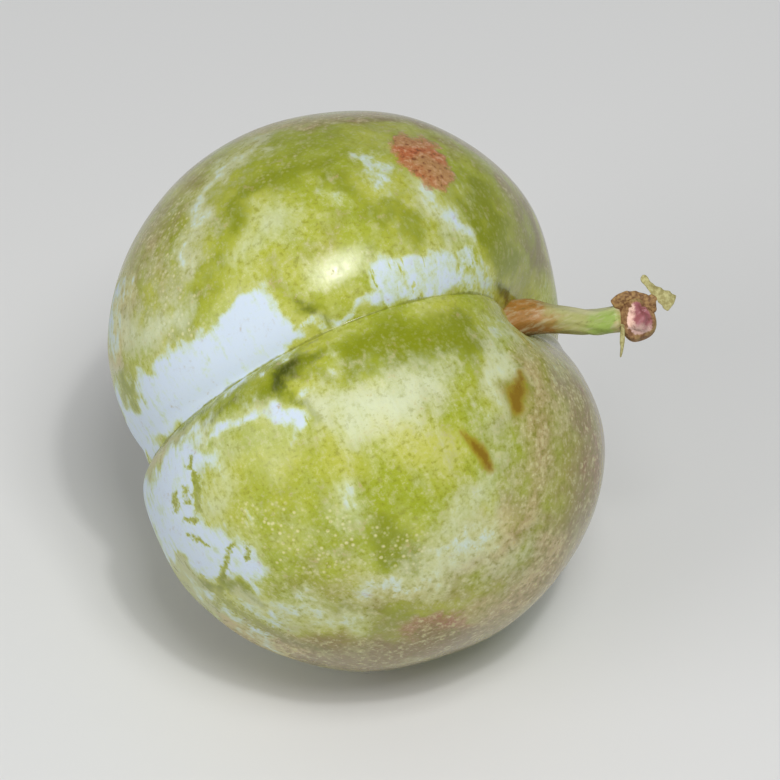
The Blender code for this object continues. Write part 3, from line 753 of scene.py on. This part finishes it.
def add_fields(mesh, local, seen, facing, off_suture):
    """What varies over the skin: the strokes where it is seen, and seeded noise where it is hidden."""
    ragged = seen.copy()
    for axis in (0, 1):
        ragged[:, axis] += RAG_COARSE * wave_noise(local, RAG_COARSE_SIZE, seed=10 + axis)
        ragged[:, axis] += RAG_FINE * wave_noise(local, RAG_FINE_SIZE, seed=20 + axis)
    steady = seen + SMALL_MARK_RAG * (ragged - seen)
    patchy = 0.6 * wave_noise(local, PATCH_SIZE, seed=3) + 0.4 * wave_noise(local, SPOT_SIZE, seed=4)
    broad = wave_noise(local, BROAD_SIZE, seed=5)
    hidden = 1.0 - facing

    def painted(strokes, places=ragged):
        return facing * stroked(strokes, places, off_suture)

    bloom_and_painted_light = 0.06 + 0.05 * patchy + hidden * (0.26 + 0.28 * patchy)
    bloom_and_painted_light = np.maximum(bloom_and_painted_light, painted(BLOOM_AND_PAINTED_LIGHT_STROKES)) * (1.0 - painted(BARE_STROKES))
    off_tip = np.where(local[:, 2] < 0.0, np.hypot(local[:, 0], local[:, 1]), 1.0)
    fields = {
        "bloom_and_painted_light": np.clip(bloom_and_painted_light, 0.0, 1.0),
        "dust_and_painted_light": painted(DUST_AND_PAINTED_LIGHT_STROKES) + hidden * (0.35 + 0.2 * broad),
        "haze_and_sheen": painted(HAZE_AND_SHEEN_STROKES) + hidden * (0.25 + 0.15 * patchy),
        "olive": painted(OLIVE_AND_SHADE_STROKES) + hidden * (0.3 + 0.3 * broad),
        "tan_and_shade": painted(TAN_AND_SHADE_STROKES) + hidden * (0.25 - 0.25 * broad),
        "dots": painted(DOT_STROKES) + hidden * (0.4 - 0.5 * patchy),
        "yellow_and_glow": painted(YELLOW_AND_GLOW_STROKES),
        "blush": painted(BLUSH_STROKES),
        "dark": painted(DARK_MARK_AND_SHADE_STROKES, steady),
        "russet": painted(RUSSET_STROKES, steady),
        "scar": painted(SCAR_STROKES, steady),
        "tip": smooth_step(TIP_REACH, 0.0, off_tip),
        "deep": smooth_step(-0.2, 0.5, local[:, 0] / np.linalg.norm(local, axis=1)),
        "seen_right": seen[:, 0],
        "seen_up": seen[:, 1],
        "facing": facing,
        "off_suture": off_suture / MM,
    }
    for name, values in fields.items():
        add_value(mesh, name, values)


class Graph:
    """Short calls for building a material's nodes."""

    def __init__(self, name):
        self.material = bpy.data.materials.new(name)
        self.material.use_nodes = True
        self.tree = self.material.node_tree
        self.shader = self.tree.nodes["Principled BSDF"]

    def add(self, kind, inputs=(), **settings):
        node = self.tree.nodes.new(kind)
        for setting, value in settings.items():
            setattr(node, setting, value)
        for name, value in dict(inputs).items():
            self.feed(node.inputs[name], value)
        return node

    def feed(self, socket, value):
        if isinstance(value, bpy.types.NodeSocket):
            self.tree.links.new(value, socket)
        else:
            socket.default_value = value

    def value(self, name):
        return self.add("ShaderNodeAttribute", attribute_name=name).outputs["Fac"]

    def own_place(self):
        return self.add("ShaderNodeAttribute", attribute_name="own_place").outputs["Vector"]

    def math(self, operation, first, second=0.0, clamp=False):
        node = self.add("ShaderNodeMath", operation=operation, use_clamp=clamp)
        self.feed(node.inputs[0], first)
        self.feed(node.inputs[1], second)
        return node.outputs[0]

    def plus(self, first, second):
        return self.math("ADD", first, second)

    def minus(self, first, second):
        return self.math("SUBTRACT", first, second)

    def times(self, first, second):
        return self.math("MULTIPLY", first, second)

    def noise(self, place, size, detail=3.0, roughness=0.55):
        inputs = {"Vector": place, "Scale": 1.0 / size, "Detail": detail, "Roughness": roughness}
        return self.add("ShaderNodeTexNoise", inputs).outputs["Fac"]

    def vector(self, operation, first, second=(0.0, 0.0, 0.0), scale=1.0):
        node = self.add("ShaderNodeVectorMath", operation=operation)
        self.feed(node.inputs[0], first)
        self.feed(node.inputs[1], second)
        self.feed(node.inputs[3], scale)
        return node.outputs["Value" if operation in ("LENGTH", "DOT_PRODUCT") else "Vector"]

    def stroke_gap(self, place, start, end):
        """How far a place is outside a stroke that narrows from its start to its end."""
        begin = Vector((start[0], start[1], 0.0))
        run = Vector((end[0], end[1], 0.0)) - begin
        offset = self.vector("SUBTRACT", place, begin)
        share = self.vector("DOT_PRODUCT", offset, run / run.length_squared)
        share = self.math("MULTIPLY", share, 1.0, clamp=True)
        away = self.vector("SUBTRACT", offset, self.vector("SCALE", run, scale=share))
        radius = self.times(share, end[2] - start[2])
        radius = self.plus(radius, start[2])
        return self.minus(self.vector("LENGTH", away), radius)

    def ramp(self, value, low, high, to_low=0.0, to_high=1.0):
        node = self.add("ShaderNodeMapRange", interpolation_type="SMOOTHSTEP")
        for name, setting in (("Value", value), ("From Min", low), ("From Max", high)):
            self.feed(node.inputs[name], setting)
        node.inputs["To Min"].default_value = to_low
        node.inputs["To Max"].default_value = to_high
        return node.outputs["Result"]

    def mix(self, share, first, second):
        node = self.add("ShaderNodeMix", data_type="RGBA")
        self.feed(node.inputs["Factor"], share)
        self.feed(node.inputs["A"], first)
        self.feed(node.inputs["B"], second)
        return node.outputs["Result"]

    def bump(self, height, strength, distance):
        node = self.add("ShaderNodeBump", {"Height": height, "Strength": strength, "Distance": distance})
        self.feed(self.shader.inputs["Normal"], node.outputs["Normal"])


def scratch_share(g, jitter):
    """1 on the scratches and 0 away from them."""
    seen = {"X": g.value("seen_right"), "Y": g.value("seen_up")}
    seen = g.add("ShaderNodeCombineXYZ", seen).outputs[0]
    nearest = 1.0
    for points in SCRATCHES:
        for start, end in zip(points[:-1], points[1:]):
            nearest = g.math("MINIMUM", nearest, g.stroke_gap(seen, start, end))
    nearest = g.plus(nearest, g.times(jitter, 0.8))
    return g.times(g.ramp(nearest, 0.22, -0.22, 0.0, 0.8), g.value("facing"))


def stretched(g, place, scale):
    """The place drawn together by a scale along each axis, so that noise on it is stretched."""
    return g.add("ShaderNodeMapping", {"Vector": place, "Scale": scale}).outputs[0]


def skin_noises(g, place):
    """Noises for the skin from broad to fine. Hairs and combed run across the suture."""
    noise = SimpleNamespace(
        broad=g.noise(place, 6.0 * MM),
        mid=g.noise(place, 1.8 * MM, 5.0, 0.62),
        fine=g.noise(place, 0.45 * MM, 3.0, 0.7),
        clouds=g.noise(place, 3.2 * MM, 6.0, 0.68),
        hairs=g.noise(stretched(g, place, (1.0, 0.09, 1.0)), 0.32 * MM, 2.0, 0.5),
        combed=g.noise(stretched(g, place, (1.0, 0.22, 1.0)), 0.55 * MM, 3.0, 0.6),
    )
    noise.mottle = g.minus(noise.mid, 0.5)
    noise.speckle = g.minus(noise.fine, 0.5)
    noise.streak = g.minus(noise.combed, 0.5)
    return noise


def spread(g, noise, name, mottled, speckled, streaked=0.0):
    """A value of the skin's points, broken up by noises of the given strengths."""
    total = g.plus(g.value(name), g.times(noise.mottle, mottled))
    total = g.plus(total, g.times(noise.speckle, speckled))
    return g.plus(total, g.times(noise.streak, streaked))


def bare_skin(g, noise):
    """The skin's colours: green to lime, with yellow, olive, tan and blush, under a thin film. Some yellow
    is painted highlight glow, and some olive and tan is painted shade.
    """
    skin = g.mix(g.ramp(noise.broad, 0.35, 0.65), BASE_GREEN, BASE_LIME)
    skin = g.mix(g.ramp(noise.combed, 0.48, 0.75, 0.0, 0.35), skin, COMBED_LIME)
    skin = g.mix(g.ramp(noise.mid, 0.46, 0.72, 0.0, 0.50), skin, MOTTLED_GREEN)
    skin = g.mix(g.ramp(spread(g, noise, "yellow_and_glow", 0.6, 0.3, 0.4), 0.1, 1.0, 0.0, 0.8), skin, YELLOW_AND_GLOW)
    skin = g.mix(g.ramp(spread(g, noise, "olive", 1.1, 0.5, 0.5), 0.0, 0.9), skin, OLIVE)
    skin = g.mix(g.ramp(spread(g, noise, "tan_and_shade", 0.6, 0.5), 0.0, 0.85, 0.0, 0.96), skin, TAN_AND_SHADE)
    skin = g.mix(g.ramp(spread(g, noise, "blush", 0.8, 0.5, 0.4), 0.35, 0.95, 0.0, 0.85), skin, BLUSH)
    off_olive = g.ramp(g.value("olive"), 0.75, 0.15, 0.04, 0.38)
    film = g.times(g.ramp(noise.clouds, 0.48, 0.70), off_olive)
    return g.mix(film, skin, THIN_FILM)


def with_pores(g, noise, place, skin):
    """Small pale pores of uneven size and strength."""
    cells = g.add("ShaderNodeTexVoronoi", {"Vector": place, "Scale": 1.0 / PORE_GAP}, feature="F1")
    off_pore = g.plus(cells.outputs["Distance"], g.times(noise.speckle, 0.6))
    pore = g.times(g.ramp(off_pore, 0.44, 0.12), g.ramp(cells.outputs["Color"], 0.10, 0.60))
    strength = g.ramp(spread(g, noise, "dots", 1.0, 0.0), 0.1, 0.9, 0.12, 0.80)
    return g.mix(g.times(pore, strength), skin, PORE)


def with_dust_and_painted_light(g, noise, scratch, skin):
    """Dust with painted light in places, pale haze with painted sheen, pale and dark flecks, and the dark
    marks near the suture with painted shade.
    """
    dust_and_painted_light = spread(g, noise, "dust_and_painted_light", 0.9, 0.4, 0.5)
    dust_and_painted_light = g.minus(dust_and_painted_light, g.times(scratch, 0.5))
    dust_and_light_colour = g.mix(g.ramp(g.value("tan_and_shade"), 0.05, 0.60), DUST_AND_LIGHT_ON_GREEN, DUST_AND_LIGHT_ON_TAN)
    skin = g.mix(g.ramp(dust_and_painted_light, 0.05, 0.95, 0.0, 0.80), skin, dust_and_light_colour)
    skin = g.mix(g.ramp(spread(g, noise, "haze_and_sheen", 0.35, 0.25, 0.6), 0.02, 1.0, 0.0, 0.85), skin, HAZE_AND_SHEEN)
    on_tan = g.times(g.value("tan_and_shade"), 0.35)
    fleck = g.plus(g.ramp(g.value("olive"), 0.8, 0.2, 0.12, 0.38), on_tan)
    fleck = g.times(fleck, g.ramp(g.value("haze_and_sheen"), 0.9, 0.3, 0.35, 1.0))
    skin = g.mix(g.times(g.ramp(noise.fine, 0.52, 0.68), fleck), skin, PALE_FLECK)
    skin = g.mix(g.times(g.ramp(noise.fine, 0.48, 0.32), fleck), skin, DARK_FLECK)
    return g.mix(g.ramp(spread(g, noise, "dark", 0.6, 0.6), 0.10, 0.85, 0.0, 0.90), skin, DARK_MARK_AND_SHADE)


def with_bloom(g, noise, scratch, skin):
    """The bloom, thin and yellowish to thick and bluish, and how much of the skin it covers. A few bloom
    strokes are painted light and sheen.
    """
    waxy = g.minus(spread(g, noise, "bloom_and_painted_light", 0.9, 0.4, 0.9), scratch)
    hair = g.plus(noise.hairs, g.times(noise.mottle, 0.4))
    hair = g.ramp(hair, 0.38, 0.26, 0.0, 0.35)
    hair = g.times(hair, g.ramp(g.value("bloom_and_painted_light"), 0.98, 0.80, 0.15, 1.0))
    waxy = g.minus(waxy, hair)
    cover = g.plus(g.ramp(waxy, 0.0, 0.8, 0.0, 0.45), g.ramp(waxy, 0.35, 0.85, 0.0, 0.49))
    wax = g.mix(g.ramp(waxy, 0.35, 0.75), THIN_BLOOM, HALF_BLOOM)
    wax = g.mix(g.ramp(waxy, 0.68, 0.98), wax, THICK_BLOOM)
    color = g.mix(cover, skin, wax)
    return g.mix(g.times(scratch, 0.5), color, SCRATCHED_SKIN), cover


def with_crease_shade(g, noise, color):
    """The darker line at the bottom of the suture: painted shade in the groove, strongest where it is deep.
    """
    crease_shade = g.math("ABSOLUTE", g.value("off_suture"))
    crease_shade = g.ramp(g.plus(crease_shade, g.times(noise.mottle, 0.6)), 0.14, 0.0, 0.0, 0.5)
    return g.mix(g.times(crease_shade, g.value("deep")), color, CREASE_SHADE)


def with_russet(g, noise, color):
    """The corky red-brown spot, and where it is."""
    russet = g.ramp(spread(g, noise, "russet", 1.1, 0.9), 0.25, 0.75)
    cork = g.mix(g.ramp(noise.mid, 0.35, 0.60), RED_CORK, BROWN_CORK)
    cork = g.mix(g.ramp(noise.fine, 0.53, 0.68, 0.0, 0.8), cork, PALE_CORK)
    cork = g.mix(g.ramp(noise.fine, 0.48, 0.34, 0.0, 0.8), cork, DARK_CORK)
    return g.mix(russet, color, cork), russet


def with_scars(g, noise, color):
    """The healed scars, golden at their rims, and the ring and point at the far tip."""
    scar = spread(g, noise, "scar", 0.7, 0.6)
    color = g.mix(g.ramp(scar, 0.05, 0.50, 0.0, 0.80), color, SCAR_RIM)
    color = g.mix(g.ramp(scar, 0.35, 0.80, 0.0, 0.94), color, SCAR_CORE)
    tip = g.plus(g.value("tip"), g.times(noise.mottle, 0.05))
    color = g.mix(g.ramp(tip, 0.40, 0.75, 0.0, 0.85), color, TIP_BLOOM)
    color = g.mix(g.ramp(tip, 0.925, 0.945, 0.0, 0.9), color, TIP_RING)
    return g.mix(g.ramp(tip, 0.982, 0.992, 0.0, 0.9), color, TIP_POINT)


def skin_material():
    """The whole skin: glossy where it is bare and matt under bloom, dust and haze, which in places carry
    painted sheen and light.
    """
    g = Graph("plum_skin")
    place = g.own_place()
    noise = skin_noises(g, place)
    scratch = scratch_share(g, noise.speckle)
    skin = with_pores(g, noise, place, bare_skin(g, noise))
    color, cover = with_bloom(g, noise, scratch, with_dust_and_painted_light(g, noise, scratch, skin))
    color, russet = with_russet(g, noise, with_crease_shade(g, noise, color))
    g.feed(g.shader.inputs["Base Color"], with_scars(g, noise, color))

    matt = g.plus(cover, g.times(g.value("dust_and_painted_light"), 0.3))
    matt = g.plus(matt, g.times(g.value("haze_and_sheen"), 0.55))
    g.feed(g.shader.inputs["Roughness"], g.ramp(matt, 0.0, 0.7, 0.17, 0.60))
    g.shader.inputs["Specular IOR Level"].default_value = 0.4
    g.shader.inputs["Subsurface Weight"].default_value = 0.12
    g.shader.inputs["Subsurface Radius"].default_value = (1.0, 0.9, 0.3)
    g.shader.inputs["Subsurface Scale"].default_value = 1.0 * MM
    rough = g.plus(0.05, g.times(russet, 0.5))
    relief = g.plus(g.times(russet, 0.6), g.times(noise.fine, rough))
    relief = g.plus(relief, g.times(noise.broad, 0.6))
    relief = g.plus(relief, g.times(cover, 0.35))
    g.bump(relief, 0.6, 0.08 * MM)
    return g.material


def stem_material():
    """Orange-brown at the foot, then olive, green near the knob, ribbed along. A cream painted highlight
    runs along its top and painted shade lies under its foot.
    """
    g = Graph("stem")
    place = g.own_place()
    ribs = g.noise(stretched(g, place, (1.0, 1.0, 0.3)), 0.35 * MM, 4.0, 0.6)
    spots = g.noise(place, 0.9 * MM, 4.0, 0.6)
    along = g.value("along")
    above = g.value("above")
    shifted = g.plus(along, g.times(g.minus(spots, 0.5), 0.35))
    # The foot's brown gives way to olive sooner along the top: painted light.
    lit = g.plus(shifted, g.times(above, 0.06))
    color = g.mix(g.ramp(lit, 0.36, 0.60), STEM_FOOT, STEM_OLIVE)
    color = g.mix(g.ramp(shifted, 0.66, 0.84), color, STEM_GREEN)
    color = g.mix(g.ramp(shifted, 0.90, 0.99), color, STEM_END)
    # Cream along the top is a painted highlight, and dark brown under the foot is painted shade.
    cream = g.times(g.ramp(above, 0.35, 0.95), g.ramp(along, 0.40, 0.60, 0.0, 0.65))
    color = g.mix(cream, color, STEM_TOP_HIGHLIGHT)
    under = g.times(g.ramp(above, 0.0, -0.9), g.ramp(along, 0.62, 0.35, 0.0, 0.7))
    color = g.mix(under, color, STEM_UNDERSIDE_SHADE)
    color = g.mix(g.ramp(ribs, 0.45, 0.70, 0.0, 0.5), color, PALE_RIB)
    color = g.mix(g.ramp(ribs, 0.42, 0.25, 0.0, 0.6), color, DARK_RIB)
    g.feed(g.shader.inputs["Base Color"], color)
    g.feed(g.shader.inputs["Roughness"], g.ramp(spots, 0.3, 0.7, 0.45, 0.65))
    g.bump(ribs, 0.8, 0.10 * MM)
    return g.material


def knob_material():
    """Brown bark round a torn place, white-pink with a painted highlight on its left, mauve on its right
    and pale below.
    """
    g = Graph("knob")
    place = g.own_place()
    grain = g.noise(place, 0.45 * MM, 4.0, 0.65)
    spots = g.noise(place, 1.1 * MM, 3.0)
    rough = g.minus(grain, 0.5)
    bark = g.mix(g.ramp(grain, 0.35, 0.65), KNOB_BARK_DARK, KNOB_BARK_LIGHT)
    bark = g.mix(g.ramp(spots, 0.55, 0.75, 0.0, 0.5), bark, KNOB_BARK_GREEN)
    side = g.plus(g.value("right"), g.times(rough, 1.2))
    up = g.plus(g.value("up"), g.times(rough, 1.5))
    # The left of the torn place is paler than its right: pink flesh and painted highlight.
    flesh = g.mix(g.ramp(side, 0.15, -0.15), TORN_MAUVE, TORN_PINK_AND_HIGHLIGHT)
    flesh = g.mix(g.ramp(up, -0.35, -0.75), flesh, TORN_LOWER)
    flesh = g.mix(g.ramp(grain, 0.44, 0.33, 0.0, 0.85), flesh, TORN_CRACK)
    torn = g.ramp(g.plus(g.value("torn"), g.times(rough, 1.5)), 0.35, 0.65)
    g.feed(g.shader.inputs["Base Color"], g.mix(torn, bark, flesh))
    g.feed(g.shader.inputs["Roughness"], g.ramp(torn, 0.0, 1.0, 0.75, 0.35))
    g.bump(grain, 0.9, 0.18 * MM)
    return g.material


def bark_material(name, dark, light):
    """Dry fibrous bark, streaked with a darker and a lighter shade."""
    g = Graph(name)
    place = g.own_place()
    fibres = g.noise(place, 0.25 * MM, 4.0, 0.6)
    g.feed(g.shader.inputs["Base Color"], g.mix(g.ramp(fibres, 0.35, 0.65), dark, light))
    g.shader.inputs["Roughness"].default_value = 0.7
    g.bump(fibres, 0.8, 0.08 * MM)
    return g.material


def make_floor():
    bpy.ops.mesh.primitive_plane_add(size=FLOOR_SIDE, location=(0.0, 0.0, 0.0))
    floor = bpy.context.object
    floor.name = "floor"
    g = Graph("floor")
    g.shader.inputs["Base Color"].default_value = FLOOR_COLOR
    g.shader.inputs["Roughness"].default_value = 0.8
    floor.data.materials.append(g.material)


def make_light(name, away, size, power, middle):
    light = bpy.data.lights.new(name, "AREA")
    light.energy = power
    light.size = size
    lamp = bpy.data.objects.new(name, light)
    lamp.location = middle + Vector(away)
    lamp.rotation_euler = Vector(away).to_track_quat("Z", "Y").to_euler()
    bpy.context.scene.collection.objects.link(lamp)


def make_sky():
    world = bpy.data.worlds.new("studio")
    world.use_nodes = True
    background = world.node_tree.nodes["Background"]
    background.inputs["Color"].default_value = SKY_COLOR
    background.inputs["Strength"].default_value = SKY_STRENGTH
    bpy.context.scene.world = world


def make_camera(middle):
    camera = bpy.data.objects.new("camera", bpy.data.cameras.new("camera"))
    camera.data.lens = CAMERA_LENS
    camera.data.clip_start = 0.01
    away = Vector(toward_viewer())
    aim = middle + Vector((CAMERA_AIM_RIGHT, 0.0, 0.0))
    camera.location = aim + away * CAMERA_DISTANCE
    camera.rotation_euler = away.to_track_quat("Z", "Y").to_euler()
    bpy.context.scene.collection.objects.link(camera)
    bpy.context.scene.camera = camera


home = make_fruit()
make_stalk(home)
middle = home.to_translation()
make_floor()
for name, away, size, power in LIGHTS:
    make_light(name, away, size, power, middle)
make_camera(middle)
make_sky()
bpy.context.scene.view_settings.view_transform = "Standard"
